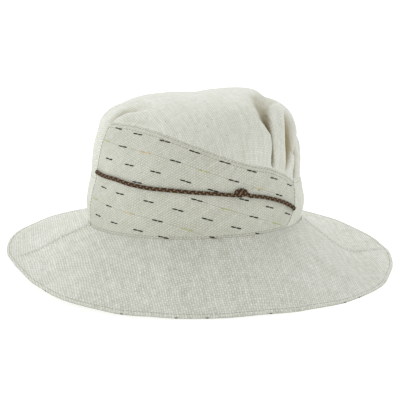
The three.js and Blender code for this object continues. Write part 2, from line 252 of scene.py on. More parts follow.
# Slack of the cloth: soft waves with their length, the way they run and how steeply, their height
# and their start
CROWN_WAVES = named("length way pitch height start", [
    (61, 25, 20, 0.4, 0.3),
    (43, -48, 35, 0.3, 1.9),
    (29, 80, -30, 0.16, 4.1),
    (17, -12, 50, 0.07, 2.6),
])
BRIM_WAVES = named("length way pitch height start", [
    (118, 12, 0, 0.7, 0.8),
    (67, -31, 0, 0.4, 3.4),
    (41, 64, 0, 0.22, 5.2),
    (19, 5, 0, 0.08, 1.1),
])
# The crown's slack sets in over this height, and the brim's over shares of its width and over a height
# over the surface that the hat rests on. It fades to a share of itself towards the rim.
CROWN_SLACK_HEIGHT = 12
BRIM_SLACK_SHARES = (0.08, 0.5)
BRIM_SLACK_HEIGHT = 8
RIM_SLACK = 0.25
RIM_SLACK_SHARES = (0.7, 1)
# Gathers along the seams
PUCKER_HEIGHT = 0.22
PUCKER_PARTS = named("length share", [(7.3, 0.5), (11.9, 0.3), (4.6, 0.2)])
PUCKER_REACH = 5
FOOT_PUCKER_STRETCH = 1.1
FOOT_PUCKER_START = 5
# Edges of the cloth: their rounding, and how far in from them the mesh has rows of its own, with the first
# even row a little beyond. The inner side of the cloth rounds over by these shares of the outer side's
# drop on the crown and of its own on the brim's underside.
EDGE_RADIUS = 0.4
EDGE_ROWS = (0.12, 0.35, 0.8, 1.5)
EDGE_ROW_SPACE = 1.2
BACK_DROP = 0.5
UNDERSIDE_DROP = 0.8
# Faces that meet at more than this angle, in degrees, keep a sharp edge between them
SHARP_ANGLE = 55
# Overlap of two pieces at a seam. The brim is pressed thinner at its hem, and raised over its side seams.
SEAM_OVERLAP = 0.05
HEM_PRESS = 0.6
HEM_SHARES = (0.86, 0.99)
SIDE_SEAM_SWELL = 1.3
SIDE_SEAM_SPREAD = 3.2
SIDE_SEAM_SHARES = (0.8, 1)

# Route of the braided cord across the panel: azimuth, and height as a share of the panel's height
CORD_ROUTE = named("azimuth rise", [
    (204.3, 0.528),
    (208.5, 0.52),
    (217, 0.508),
    (226.3, 0.498),
    (236.6, 0.468),
    (247.9, 0.446),
    (258.5, 0.435),
    (267.7, 0.42),
    (278.3, 0.403),
    (288.5, 0.38),
    (299.8, 0.354),
    (309.2, 0.319),
    (319.6, 0.262),
    (327.5, 0.208),
    (333.2, 0.151),
])

# Rows of dashes on the front panel: height over the base in front, and how far each dash is turned
# from the front, by the colour of its thread. A row falls by DASH_SLOPE as it goes round.
DASH_ROWS = [
    {"height": 66.2, "dark": (-52, -35, -17, 0, 15.5, 30, 45, 59)},
    {"height": 54.3, "dark": (-43, -10, 19.5, 48.5), "yellow": (-58, 4.5), "orange": (-27, 34)},
    {"height": 42, "dark": (-51.5, -36, -20, -4.5, 9, 24.5, 41, 56.5)},
    {"height": 30.6, "dark": (-30, 1, 30), "yellow": (-11.5, 15.5, 45.5)},
    {"height": 18.4, "dark": (-55, -40.5, -23, -8, 6, 20, 33.5)},
    {"height": 5.7, "dark": (-49.5, -18, 9.5), "yellow": (-65, -3.5), "orange": (-34,)},
    {"height": -5.8, "dark": (-61, -45, -28.5, -15)},
]
FLOAT_ROWS = (1, 3, 5)
FLOAT_TURNS = (-60, 50)
DASH_SPACING = 24.4
DASH_SLOPE = named("turn drop", [
    (-66, 18),
    (-52, 15.6),
    (-36, 12.9),
    (-20, 8.9),
    (-8, 4.2),
    (0, 0),
    (15, -8.3),
    (30, -16.6),
    (45, -24.6),
    (66, -36.5),
])
RIM_FLECKS = (2, 46, 118, 171, 222, 248.5, 263.5, 272, 290, 313, 319)
STROKE_LENGTH = 4.7
DASH_DEPTH = 0.4
STROKE_GAP = -0.1
STROKE_STEP = 0.2
STROKE_TURN = 4.5

HALF_WIDTH = HEAD_WIDTH / 2
HALF_DEPTH = HEAD_DEPTH / 2
MM = 0.001
DEGREES_PER_MM = 180 / (math.pi * HALF_WIDTH)


def mix(low, high, share):
    return low + (high - low) * share


def smooth(low, high, value):
    share = np.clip((value - low) / (high - low), 0, 1)
    return share * share * (3 - 2 * share)


def column(table, name):
    return np.array([row[name] for row in table], float)


def eased(table, key, name, value):
    """Value of a column of a table, on a smooth line through its rows."""
    places = column(table, key)
    values = column(table, name)
    slopes = np.gradient(values, places)
    low = np.clip(np.searchsorted(places, value, side="right") - 1, 0, len(places) - 2)
    span = places[low + 1] - places[low]
    share = np.clip((value - places[low]) / span, 0, 1)
    back = 1 - share
    ends = values[low] * back * back * (1 + 2 * share) + values[low + 1] * share * share * (3 - 2 * share)
    return ends + span * share * back * (slopes[low] * back - slopes[low + 1] * share)


def round_value(table, name, azimuth):
    """Value of a column at an azimuth, smoothed between the rows of a table that goes all the way round."""
    places = np.append(column(table, "azimuth"), 360)
    values = np.append(column(table, name), table[0][name])
    turned = np.mod(azimuth, 360)
    low = np.clip(np.searchsorted(places, turned, side="right") - 1, 0, len(places) - 2)
    share = (turned - places[low]) / (places[low + 1] - places[low])
    return mix(values[low], values[low + 1], smooth(0, 1, share))


def band_top(azimuth):
    return BAND_HEIGHT - BAND_RISE * np.cos(np.radians(azimuth))


def waves(table, points):
    total = 0
    for row in table:
        way = math.radians(row["way"])
        pitch = math.radians(row["pitch"])
        run = points[..., 0] * math.cos(way) + points[..., 1] * math.sin(way)
        climb = run * math.cos(pitch) + points[..., 2] * math.sin(pitch)
        total = total + row["height"] * np.sin(2 * math.pi * climb / row["length"] + row["start"])
    return total


def pucker(along, away):
    """Small gathers of the cloth along a seam, which fade away from it."""
    total = sum(part["share"] * np.sin(2 * math.pi * along / part["length"]) for part in PUCKER_PARTS)
    return PUCKER_HEIGHT * total * np.exp(-((away / PUCKER_REACH) ** 2))


def past_back(azimuth):
    """The azimuth from FIRST_AZIMUTH on, less than a turn past it."""
    return np.mod(azimuth - FIRST_AZIMUTH, 360) + FIRST_AZIMUTH


def roundness(azimuth):
    across = np.cos(np.radians(azimuth))
    along = np.sin(np.radians(azimuth))
    side = np.where(across > 0, SHOULDER["right"], SHOULDER["left"])
    end = np.where(along > 0, SHOULDER["back"], SHOULDER["front"])
    return side * across**2 + end * along**2


def smooth_crown(azimuth, climb):
    """Outer surface of the crown without folds, with climb from 0 at the base to 1 at the tip."""
    azimuth, climb = np.broadcast_arrays(np.asarray(azimuth, float), np.asarray(climb, float))
    across = np.cos(np.radians(azimuth))
    along = np.sin(np.radians(azimuth))
    power = roundness(azimuth)
    turn = np.radians(climb * 90)
    lying = np.maximum(np.cos(turn), 0)
    standing = np.maximum(np.sin(turn), 0)
    scale = (lying**power + standing**power) ** (-1 / power)
    width = scale * lying
    rise = scale * standing
    height = rise * CROWN_HEIGHT
    oval = 1 / np.hypot(across / HALF_WIDTH, along / HALF_DEPTH)
    frontness = smooth(*TAPER_TURN, -along)
    stepped = smooth(BAND_HEIGHT * STEP_IN[0], BAND_HEIGHT * STEP_IN[1], height)
    tapered = np.minimum(height / PANEL_HEIGHT, 1)
    inset = UPPER_CROWN_INSET * mix(stepped, tapered, frontness)
    away = (height / BAND_HEIGHT - BULGE_CENTRE) / BULGE_SPREAD
    swell = BAND_BULGE * np.exp(-(away**2)) * (1 - frontness)
    radius = oval * width * (1 - inset / HALF_WIDTH) + swell
    x = radius * across
    y = radius * along
    z = height + BASE_ROLL * x * (1 - rise) + TIP_ROLL * x * rise**4
    tilt = math.radians(CROWN_TILT)
    turned_y = y * math.cos(tilt) + z * math.sin(tilt)
    turned_z = z * math.cos(tilt) - y * math.sin(tilt)
    return np.stack([x - BRIM_SHIFT, turned_y, turned_z + BASE_HEIGHT], -1)


def unit(vectors):
    return vectors / np.maximum(np.linalg.norm(vectors, axis=-1, keepdims=True), 1e-12)


def outward(azimuth, climb):
    azimuth, climb = np.broadcast_arrays(np.asarray(azimuth, float), np.asarray(climb, float))
    low = np.clip(climb, CLIMB_PROBE, 1 - 2 * CLIMB_PROBE)
    aside = smooth_crown(azimuth + AZIMUTH_PROBE, low) - smooth_crown(azimuth - AZIMUTH_PROBE, low)
    up = smooth_crown(azimuth, low + CLIMB_PROBE) - smooth_crown(azimuth, low - CLIMB_PROBE)
    return unit(np.cross(aside, up))


def climb_at(azimuth, height):
    power = roundness(azimuth)
    rise = np.clip(height / CROWN_HEIGHT, 0, 0.999)
    width = (1 - rise**power) ** (1 / power)
    return np.degrees(np.arctan2(rise, width)) / 90


def crown_height_at(azimuth, climb):
    power = roundness(azimuth)
    turn = np.radians(climb * 90)
    lying = np.maximum(np.cos(turn), 0)
    scale = (lying**power + np.sin(turn) ** power) ** (-1 / power)
    return scale * np.sin(turn) * CROWN_HEIGHT


def fold_relief(azimuth, climb):
    """Depth of the folds, the sideways push of their lips and their painted shade, at places of the crown."""
    turned = past_back(azimuth)
    across_scale = 1 / DEGREES_PER_MM
    up_scale = (CROWN_HEIGHT + HALF_WIDTH) * MERIDIAN_SHARE
    depth = np.zeros_like(turned)
    push = np.zeros_like(turned)
    crease = np.zeros_like(turned)
    for rows in FOLDS.values():
        nearest = np.full_like(turned, np.inf)
        found = {name: np.zeros_like(turned) for name in (*FOLD_SHAPE, "side")}
        for low, high in zip(rows, rows[1:]):
            run = (high["azimuth"] - low["azimuth"]) * across_scale
            rise = (high["climb"] - low["climb"]) * up_scale
            x = (turned - low["azimuth"]) * across_scale
            y = (climb - low["climb"]) * up_scale
            share = np.clip((x * run + y * rise) / (run**2 + rise**2), 0, 1)
            off_x = x - share * run
            off_y = y - share * rise
            off = np.hypot(off_x, off_y)
            closer = off < nearest
            nearest = np.where(closer, off, nearest)
            side = rise * off_x - run * off_y
            found["side"] = np.where(closer, side, found["side"])
            for name in FOLD_SHAPE:
                found[name] = np.where(closer, mix(low[name], high[name], share), found[name])
        spread = np.where(found["side"] > 0, found["right"], found["left"])
        own = found["depth"] * np.exp(-((nearest / spread) ** 2) * FOLD_SHARPNESS)
        depth += own
        # Painted shade of the fold, stronger where the fold is deeper
        crease = np.maximum(crease, found["shade"] * smooth(*CREASE_DEPTHS, own))
        reach = np.where(found["side"] > 0, nearest - found["right"], -nearest - found["right"])
        push += found["lip"] * np.exp(-((reach / np.maximum(found["right"], 1)) ** 2))
    return depth, push, crease


def left_seam(height):
    return seam_azimuth(LEFT_SEAM, height)


def right_seam(height):
    return seam_azimuth(RIGHT_SEAM, height)


def seam_azimuth(seam, height):
    below = np.maximum(1 - height / seam["top"], 0)
    return seam["azimuth"] - seam["swing"] * below ** seam["bend"]


def panel_top_height(place):
    right = band_top(RIGHT_SEAM["azimuth"])
    return mix(right, PANEL_HEIGHT, eased(PANEL_TOP, "place", "rise", place))


def panel_azimuth(place, height):
    return mix(left_seam(height), right_seam(height), place)


def seam_height(azimuth):
    """Height of the seam round the upper crown: over the panel where that is, and else over the band."""
    place = (past_back(azimuth) - LEFT_SEAM["azimuth"]) / (RIGHT_SEAM["azimuth"] - LEFT_SEAM["azimuth"])
    over_panel = (place > 0) & (place < 1)
    return np.where(over_panel, panel_top_height(np.clip(place, 0, 1)), band_top(azimuth))


def above_seam(azimuth, height):
    """From 0 at the upper crown's seam to 1 where its folds have their full depth."""
    return smooth(*SEAM_FADE, height - seam_height(azimuth))


def crown_skin(azimuth, climb, lift=0.0):
    """Outer surface of the crown with its folds, slack and puckers, lifted off it by a distance."""
    azimuth, climb = np.broadcast_arrays(np.asarray(azimuth, float), np.asarray(climb, float))
    height = crown_height_at(azimuth, climb)
    above = above_seam(azimuth, height)
    depth, push, _ = fold_relief(azimuth, climb)
    around = azimuth / DEGREES_PER_MM
    slack = waves(CROWN_WAVES, smooth_crown(azimuth, climb))
    foot = around * FOOT_PUCKER_STRETCH + FOOT_PUCKER_START
    gathers = pucker(around, height - seam_height(azimuth)) + pucker(foot, height)
    out = slack * smooth(0, CROWN_SLACK_HEIGHT, height) + gathers - depth * above + lift
    moved = azimuth - push * above * DEGREES_PER_MM
    return smooth_crown(moved, climb) + outward(moved, climb) * out[..., None]


def wall_skin(azimuth, height, lift=0.0):
    """The crown's surface at a height over its base, or straight below its base where that is under 0."""
    point = crown_skin(azimuth, climb_at(azimuth, np.maximum(height, 0)), lift)
    point[..., 2] += np.minimum(height, 0)
    return point


def fall_at(azimuth, share):
    reach = round_value(BRIM_SECTIONS, "reach", azimuth)

    def fall(value):
        over = np.clip(value - 1 + FLAT_BLEND, 0, 2 * FLAT_BLEND)
        return np.minimum(value, 1 + FLAT_BLEND) - over**2 / (4 * FLAT_BLEND)

    return np.minimum(fall(share / reach) / fall(1 / reach), 1)


def brim_underside(azimuth, share):
    across = np.cos(np.radians(azimuth))
    along = np.sin(np.radians(azimuth))
    base = smooth_crown(azimuth, np.zeros_like(azimuth))
    start_x = base[..., 0] + SEAM_GAP * across
    start_y = base[..., 1] + SEAM_GAP * along
    out = round_value(RIM_SWAY, "out", azimuth)
    rim_x = (HALF_WIDTH + BRIM_SIDE_WIDTH + out) * across
    rim_y = (HALF_DEPTH + BRIM_FRONT_WIDTH + out) * along
    rim_z = RIM_LIFT * round_value(BRIM_SECTIONS, "lift", azimuth) + round_value(RIM_SWAY, "up", azimuth)
    rim_z = rim_z + RIM_CLEARANCE
    cloth = UNDER_BRIM_CLOTH + SEAM_GAP + UPPER_BRIM_CLOTH
    z = mix(base[..., 2] - cloth, rim_z, fall_at(azimuth, share))
    x = mix(start_x, rim_x, share)
    y = mix(start_y, rim_y, share)
    return np.stack([x, y, z], -1)


def side_seam_swell(azimuth, share):
    """Height of the two ridges that the brim's side seams make."""
    radius = mix(HALF_WIDTH, HALF_WIDTH + BRIM_SIDE_WIDTH, share)
    swell = 0
    for seam in BRIM_SEAMS.values():
        away = np.mod(azimuth - mix(*seam, share) + 180, 360) - 180
        swell = swell + np.exp(-((np.radians(away) * radius / SIDE_SEAM_SPREAD) ** 2))
    return SIDE_SEAM_SWELL * swell * (1 - smooth(*SIDE_SEAM_SHARES, share))


def brim_skin(azimuth, share, depth):
    """A place in the brim's cloth, at a depth over its underside measured square to its slope."""
    azimuth, share = np.broadcast_arrays(np.asarray(azimuth, float), np.asarray(share, float))
    inner = brim_underside(azimuth, np.maximum(share - SLOPE_PROBE, 0))
    outer = brim_underside(azimuth, np.minimum(share + SLOPE_PROBE, 1))
    run = np.hypot(outer[..., 0] - inner[..., 0], outer[..., 1] - inner[..., 1])
    steepness = np.hypot(1, (outer[..., 2] - inner[..., 2]) / run)
    point = brim_underside(azimuth, share)
    slack = waves(BRIM_WAVES, point)
    loose = smooth(*BRIM_SLACK_SHARES, share) * smooth(0, BRIM_SLACK_HEIGHT, point[..., 2])
    loose = loose * mix(1, RIM_SLACK, smooth(*RIM_SLACK_SHARES, share))
    pressed = mix(1, HEM_PRESS, smooth(*HEM_SHARES, share))
    point[..., 2] += depth * steepness * pressed + slack * loose + side_seam_swell(azimuth, share)
    return point


def hemmed(length, spacing, ends=(True, True)):
    """Shares of a length at a spacing, with closer ones near the ends that are chosen."""
    hem = np.array(EDGE_ROWS) / length
    middle = np.linspace(0, 1, max(int(round(length / spacing)), 2) + 1)
    low = hem if ends[0] else []
    high = 1 - hem if ends[1] else []
    inside = middle[1:-1]
    if ends[0]:
        inside = inside[inside > hem[-1] * EDGE_ROW_SPACE]
    if ends[1]:
        inside = inside[inside < 1 - hem[-1] * EDGE_ROW_SPACE]
    return np.unique(np.concatenate([[0], low, inside, high, [1]]))


def edge_drop(grid, closed=False, pole=False):
    """How far each place of a grid sinks where the cloth rounds over at its edges."""
    up = np.linalg.norm(np.diff(grid, axis=0), axis=2)
    rise = np.vstack([np.zeros(grid.shape[1]), np.cumsum(up, axis=0)])
    away = rise if pole else np.minimum(rise, rise[-1] - rise)
    if not closed:
        aside = np.linalg.norm(np.diff(grid, axis=1), axis=2)
        run = np.hstack([np.zeros((grid.shape[0], 1)), np.cumsum(aside, axis=1)])
        away = np.minimum(away, np.minimum(run, run[:, -1:] - run))
    inside = np.maximum(EDGE_RADIUS - away, 0)
    return EDGE_RADIUS - np.sqrt(np.maximum(EDGE_RADIUS**2 - inside**2, 0))


def quads(number, closed):
    if closed:
        number = np.hstack([number, number[:, :1]])
    corners = number[:-1, :-1], number[:-1, 1:], number[1:, 1:], number[1:, :-1]
    return np.stack(corners, -1).reshape(-1, 4)


def new_object(name, vertices, faces, uv, materials, picks=None, crease=None):
    """A mesh object in metres from vertices in millimetres, with a place on the cloth for each vertex."""
    mesh = bpy.data.meshes.new(name)
    mesh.from_pydata((np.asarray(vertices) * MM).tolist(), [], faces)
    layer = mesh.uv_layers.new(name="cloth")
    corners = np.zeros(len(mesh.loops), int)
    mesh.loops.foreach_get("vertex_index", corners)
    layer.data.foreach_set("uv", np.asarray(uv, np.float32)[corners].ravel())
    # The crease attribute holds painted shade for the deep folds
    if crease is not None:
        shades = mesh.attributes.new(name="crease", type="FLOAT", domain="POINT")
        shades.data.foreach_set("value", crease)
    for material in materials:
        mesh.materials.append(material)
    if picks is not None:
        mesh.polygons.foreach_set("material_index", picks)
    mesh.shade_smooth()
    mesh.set_sharp_from_angle(angle=math.radians(SHARP_ANGLE))
    mesh.update()
    made = bpy.data.objects.new(name, mesh)
    bpy.context.scene.collection.objects.link(made)
    return made


def cloth_piece(name, face, back, uv, material, closed=False, pole=None, crease=None):
    """Closed cloth between an outer and an inner grid, either round and closed by a pole, or with edges."""
    rows, columns = face.shape[:2]
    count = rows * columns
    front = np.arange(count).reshape(rows, columns)
    rear = front + count
    vertices = [face.reshape(-1, 3), back.reshape(-1, 3)]
    places = [uv.reshape(-1, 2), uv.reshape(-1, 2)]
    faces = [quads(front, closed), quads(rear, closed)[:, ::-1]]
    faces.append(quads(np.stack([rear[0], front[0]]), closed))
    extra = []
    if pole is None:
        faces.append(quads(np.stack([front[-1], rear[-1]]), closed))
    else:
        vertices.append(np.array(pole))
        places.append(np.zeros((2, 2)))
        for ring, tip, way in ((front[-1], 2 * count, 1), (rear[-1], 2 * count + 1, -1)):
            turn = np.stack([ring, np.roll(ring, -1), np.full_like(ring, tip)], -1)
            extra += turn[:, ::way].tolist()
    if not closed:
        faces.append(quads(np.stack([front[:, 0], rear[:, 0]]), False))
        faces.append(quads(np.stack([rear[:, -1], front[:, -1]]), False))
    listed = np.concatenate(faces).tolist() + extra
    # Painted shade of the folds, the same on both sides of the cloth
    if crease is not None:
        crease = np.concatenate([crease.ravel(), crease.ravel(), np.zeros(0 if pole is None else 2)])
    vertices, places = np.concatenate(vertices), np.concatenate(places)
    return new_object(name, vertices, listed, places, [material], crease=crease)


def declare(piece, slot, *nodes):
    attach(piece, "root")
    if nodes:
        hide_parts(*nodes)


def on_grain(u, v, degrees):
    """Two coordinates on the cloth, turned by an angle."""
    cos, sin = math.cos(math.radians(degrees)), math.sin(math.radians(degrees))
    return np.stack([u * cos + v * sin, v * cos - u * sin], -1)


class Net:
    """A node tree that is written as sums: each call adds a node and gives its output."""

    def __init__(self, tree):
        self.tree = tree
        tree.nodes.clear()

    def add(self, kind, inputs, **settings):
        node = self.tree.nodes.new(kind)
        for name, value in settings.items():
            setattr(node, name, value)
        for socket, value in inputs.items():
            if isinstance(value, bpy.types.NodeSocket):
                self.tree.links.new(value, node.inputs[socket])
            else:
                node.inputs[socket].default_value = value
        return node

    def sum(self, operation, *values):
        return self.add("ShaderNodeMath", dict(enumerate(values)), operation=operation).outputs[0]

    def ramp(self, value, low, high, to_low=0.0, to_high=1.0):
        inputs = {0: value, 1: low, 2: high, 3: to_low, 4: to_high}
        return self.add("ShaderNodeMapRange", inputs).outputs[0]

    def blend(self, share, first, second):
        inputs = {0: share, 6: first, 7: second}
        return self.add("ShaderNodeMix", inputs, data_type="RGBA").outputs[2]

    def clamped(self, value):
        return self.sum("MINIMUM", self.sum("MAXIMUM", value, 0.0), 1.0)

    def noise(self, vector, scale, detail=2.0, rough=0.5):
        inputs = {"Vector": vector, "Scale": scale, "Detail": detail, "Roughness": rough}
        return self.add("ShaderNodeTexNoise", inputs).outputs[0]


def paint(red, green, blue):
    """A colour from its 0 to 255 values on a screen."""
    shares = (value / 255 for value in (red, green, blue))
    linear = [s / 12.92 if s <= 0.04045 else ((s + 0.055) / 1.055) ** 2.4 for s in shares]
    return (*linear, 1.0)


def new_material(name, finish):
    material = bpy.data.materials.new(name)
    material.use_nodes = True
    net = Net(material.node_tree)
    shader = net.add("ShaderNodeBsdfPrincipled", finish)
    net.add("ShaderNodeOutputMaterial", {"Surface": shader.outputs[0]})
    return material, net, shader


# Painted shade: deep in a fold this multiplies the cloth's colour, darker and warmer, in place of the fold's
# shadow and the warm light bounced in it
CREASE_PAINTED_SHADE = (0.42, 0.35, 0.22, 1)
CLOTH_FINISH = {
    "Roughness": 0.95,
    "Specular IOR Level": 0.15,
    "Sheen Weight": 0.05,
    "Sheen Roughness": 0.5,
}
# The threads wander by this much either way, with noise of this scale, and go over and under each other
# by THREAD_SWAY round their level
WANDER_REACH = 1.6
WANDER_SCALE = 0.045
THREAD_LEVEL = 0.72
THREAD_SWAY = 0.28
BULGE_ROOT = 1.02
# Slubs: how a thread's own noise is stretched along it and set apart from the next thread's
RIB_SLUBS = {"apart": 3.7, "along": 0.11}
CROSS_SLUBS = {"apart": 2.9, "along": 0.09}
SLUB_DETAIL = 3.0
SLUB_ROUGHNESS = 0.6
# How the tone follows the weave's height, and the parts of what varies it: the first three with slub
TONE_RISE = 0.75
TONE_START = -0.12
TONE_PARTS = {"thread": 0.16, "rib slubs": 1.1, "cross slubs": 0.8, "patches": 0.14}
PATCH_SCALE = 0.02
# Dark specks in the weave: the scale of the cells that they lie in, which cells have one, the distances
# over which one fades out, how strong it is and its colour
SPECK_SCALE = 0.16
SPECK_CHOICE = (0.72, 0.74)
SPECK_RADII = (0.05, 0.09)
SPECK_STRENGTH = 0.75
SPECK_COLOUR = (116, 112, 96)
SLUB_RELIEF = 0.5
WEAVE_BUMP = 0.55
# Yarn: its fuzz, and how its tone follows the wound fibres
FUZZ_SCALE = 2.2
FUZZ_SHARE = 0.6
WOUND_TONE = (0.5, -0.1)
YARN_BUMP = 0.6
YARN_RELIEF = 0.15


def woven(name, light, dark, rib, cross, rib_over, relief, slub):
    """Woven cloth: threads run along V at a spacing and across it at another, over and under in turn."""
    light, dark = paint(*light), paint(*dark)
    material, net, shader = new_material(name, CLOTH_FINISH)
    cloth = net.add("ShaderNodeUVMap", {}, uv_map="cloth").outputs[0]
    wander = net.ramp(net.noise(cloth, WANDER_SCALE, 1.0), 0, 1, -WANDER_REACH, WANDER_REACH)
    split = net.add("ShaderNodeSeparateXYZ", {0: cloth})
    u = net.sum("ADD", split.outputs[0], wander)
    v = net.sum("ADD", split.outputs[1], wander)
    a = net.sum("DIVIDE", u, rib)
    b = net.sum("DIVIDE", v, cross)
    thread = net.sum("FLOOR", a)
    pick = net.sum("FLOOR", b)

    def bulge(value):
        centred = net.sum("MULTIPLY_ADD", net.sum("FRACT", value), 2.0, -1.0)
        return net.sum("SQRT", net.sum("SUBTRACT", BULGE_ROOT, net.sum("MULTIPLY", centred, centred)))

    def sway(value, other):
        swing = net.sum("SINE", net.sum("MULTIPLY", value, math.pi))
        side = net.sum("MULTIPLY_ADD", net.sum("PINGPONG", other, 1.0), -2.0, 1.0)
        return net.sum("MULTIPLY", swing, side)

    def over_and_under(value, crossing, swing, level):
        return net.sum("MULTIPLY", bulge(value), net.sum("MULTIPLY_ADD", crossing, swing, level))

    def slubs(number, run, spread):
        apart = net.sum("MULTIPLY", number, spread["apart"])
        along = net.sum("MULTIPLY", run, spread["along"])
        return apart, along

    warp = over_and_under(a, sway(b, thread), THREAD_SWAY, THREAD_LEVEL)
    weft = over_and_under(b, sway(a, pick), -THREAD_SWAY, THREAD_LEVEL / rib_over)
    height = net.sum("MAXIMUM", warp, weft)
    own = net.add("ShaderNodeTexWhiteNoise", {"W": thread}, noise_dimensions="1D").outputs[0]
    apart, along = slubs(thread, v, RIB_SLUBS)
    run = net.add("ShaderNodeCombineXYZ", {0: apart, 1: along}).outputs[0]
    uneven = net.noise(run, 1.0, SLUB_DETAIL, SLUB_ROUGHNESS)
    apart, along = slubs(pick, u, CROSS_SLUBS)
    run = net.add("ShaderNodeCombineXYZ", {0: along, 1: apart}).outputs[0]
    cross_uneven = net.noise(run, 1.0, SLUB_DETAIL, SLUB_ROUGHNESS)
    patchy = net.noise(cloth, PATCH_SCALE, 2.0)
    tone = net.sum("MULTIPLY_ADD", height, TONE_RISE, TONE_START)
    for part, value, strength in (
        ("thread", own, slub),
        ("rib slubs", uneven, slub),
        ("cross slubs", cross_uneven, slub),
        ("patches", patchy, 1),
    ):
        change = net.sum("SUBTRACT", value, 0.5)
        tone = net.sum("MULTIPLY_ADD", change, TONE_PARTS[part] * strength, tone)
    colour = net.blend(net.clamped(tone), dark, light)
    speck = net.add("ShaderNodeTexVoronoi", {"Vector": cloth, "Scale": SPECK_SCALE}, feature="F1")
    cell = net.add("ShaderNodeSeparateColor", {0: speck.outputs["Color"]}).outputs[0]
    chosen = net.ramp(cell, *SPECK_CHOICE)
    near = net.ramp(speck.outputs["Distance"], *SPECK_RADII, SPECK_STRENGTH, 0.0)
    colour = net.blend(net.sum("MULTIPLY", chosen, near), colour, paint(*SPECK_COLOUR))
    # Painted shade: the crease attribute darkens and warms the colour deep in the folds
    crease = net.add("ShaderNodeAttribute", {}, attribute_name="crease").outputs["Fac"]
    shaded = {0: crease, 6: colour, 7: CREASE_PAINTED_SHADE}
    colour = net.add("ShaderNodeMix", shaded, data_type="RGBA", blend_type="MULTIPLY").outputs[2]
    net.tree.links.new(colour, shader.inputs["Base Color"])
    lumps = net.sum("MULTIPLY_ADD", uneven, SLUB_RELIEF, height)
    bump = net.add("ShaderNodeBump", {"Strength": WEAVE_BUMP, "Distance": relief * MM, "Height": lumps})
    net.tree.links.new(bump.outputs[0], shader.inputs["Normal"])
    return material


def yarn(name, light, dark, twist):
    """Yarn with its fibres wound round it: V runs along it and U round it."""
    light, dark = paint(*light), paint(*dark)
    material, net, shader = new_material(name, CLOTH_FINISH)
    cloth = net.add("ShaderNodeUVMap", {}, uv_map="cloth").outputs[0]
    split = net.add("ShaderNodeSeparateXYZ", {0: cloth})
    ply = net.sum("ADD", split.outputs[0], net.sum("MULTIPLY", split.outputs[1], twist))
    wound = net.sum("MULTIPLY_ADD", net.sum("SINE", net.sum("MULTIPLY", ply, 2 * math.pi)), 0.5, 0.5)
    fuzz = net.noise(cloth, FUZZ_SCALE, 3.0)
    tone = net.sum("MULTIPLY_ADD", fuzz, FUZZ_SHARE, net.sum("MULTIPLY_ADD", wound, *WOUND_TONE))
    colour = net.blend(net.clamped(tone), dark, light)
    net.tree.links.new(colour, shader.inputs["Base Color"])
    bump = net.add("ShaderNodeBump", {"Strength": YARN_BUMP, "Distance": YARN_RELIEF * MM, "Height": wound})
    net.tree.links.new(bump.outputs[0], shader.inputs["Normal"])
    return material


# Cloths: the light and dark of their weave, the spacing of the threads along V and across it, how much the
# first stand over the others, the weave's height in mm, and how uneven its threads are
WEAVES = named("name light dark rib cross rib_over relief slub", [
    ("plain_cloth", (238, 238, 231), (167, 168, 152), 1.85, 2, 1.35, 0.4, 0.55),
    ("crown_cloth", (240, 241, 233), (180, 181, 165), 1.5, 1.1, 1.3, 0.3, 0.5),
    ("dashed_cloth", (230, 231, 219), (162, 164, 148), 1.7, 1.3, 1.45, 0.3, 0.4),
])
CLOTHS = {row["name"]: woven(**row) for row in WEAVES}
# Threads: their light and dark, and how steeply their fibres are wound
SPUN = named("name light dark twist", [
    ("dark_thread", (62, 58, 48), (24, 22, 18), 1.4),
    ("yellow_thread", (206, 204, 146), (150, 154, 86), 1.4),
    ("orange_thread", (218, 198, 156), (188, 156, 108), 1.4),
    ("seam_thread", (184, 184, 168), (132, 131, 115), 1.4),
    ("pale_thread", (198, 198, 182), (160, 160, 143), 1.4),
    # Darker than the other seam thread: real stitches darkened with painted shade of the side seams' grooves
    ("dull_thread", (126, 123, 105), (84, 81, 66), 1.4),
    ("dark_braid", (86, 66, 48), (32, 23, 16), 0.9),
    ("brown_braid", (152, 128, 102), (84, 62, 42), 0.9),
])
YARNS = {row["name"]: yarn(**row) for row in SPUN}

# Meshes of the pieces of cloth: length and spacing, in mm, of the places across and of the rows up, and the
# turn of the weave
MESHES = {
    "crown_top": {"across": (150, 1.5), "up": (135, 1.75), "grain": 28},
    "front_panel": {"across": (195, 0.9), "up": (80, 1.2), "grain": -58},
    "back_band": {"across": (370, 1.4), "up": (41, 1.2), "grain": 28},
    "brim_front": {"across": (500, 1.3), "up": (78, 1.35), "grain": 12},
    "brim_back": {"across": (500, 1.3), "up": (78, 1.35), "grain": 6},
    "underbrim": {"up": (78, 1.9), "grain": 20},
}
# The upper crown's mesh is closer round the pleats: from the first of these places on the panel's top to
# the second on the band's. The counts are of its steps there, on the rest of the band and up the left seam.
PLEATS_FROM = 0.6
PLEATS_TO = 0.14
PLEAT_COUNTS = (140, 70)
BAND_COUNT = 190
SEAM_COUNT = 42
CROWN_ROW_POWER = 1.05
# Its pattern lies flat round the tip, this far out at the base, and is pressed together past a distance
PATTERN_RADIUS = 150
PRESSED_FROM = 90
PATTERN_PRESS = 0.75
WALL_STRETCH = 1.02


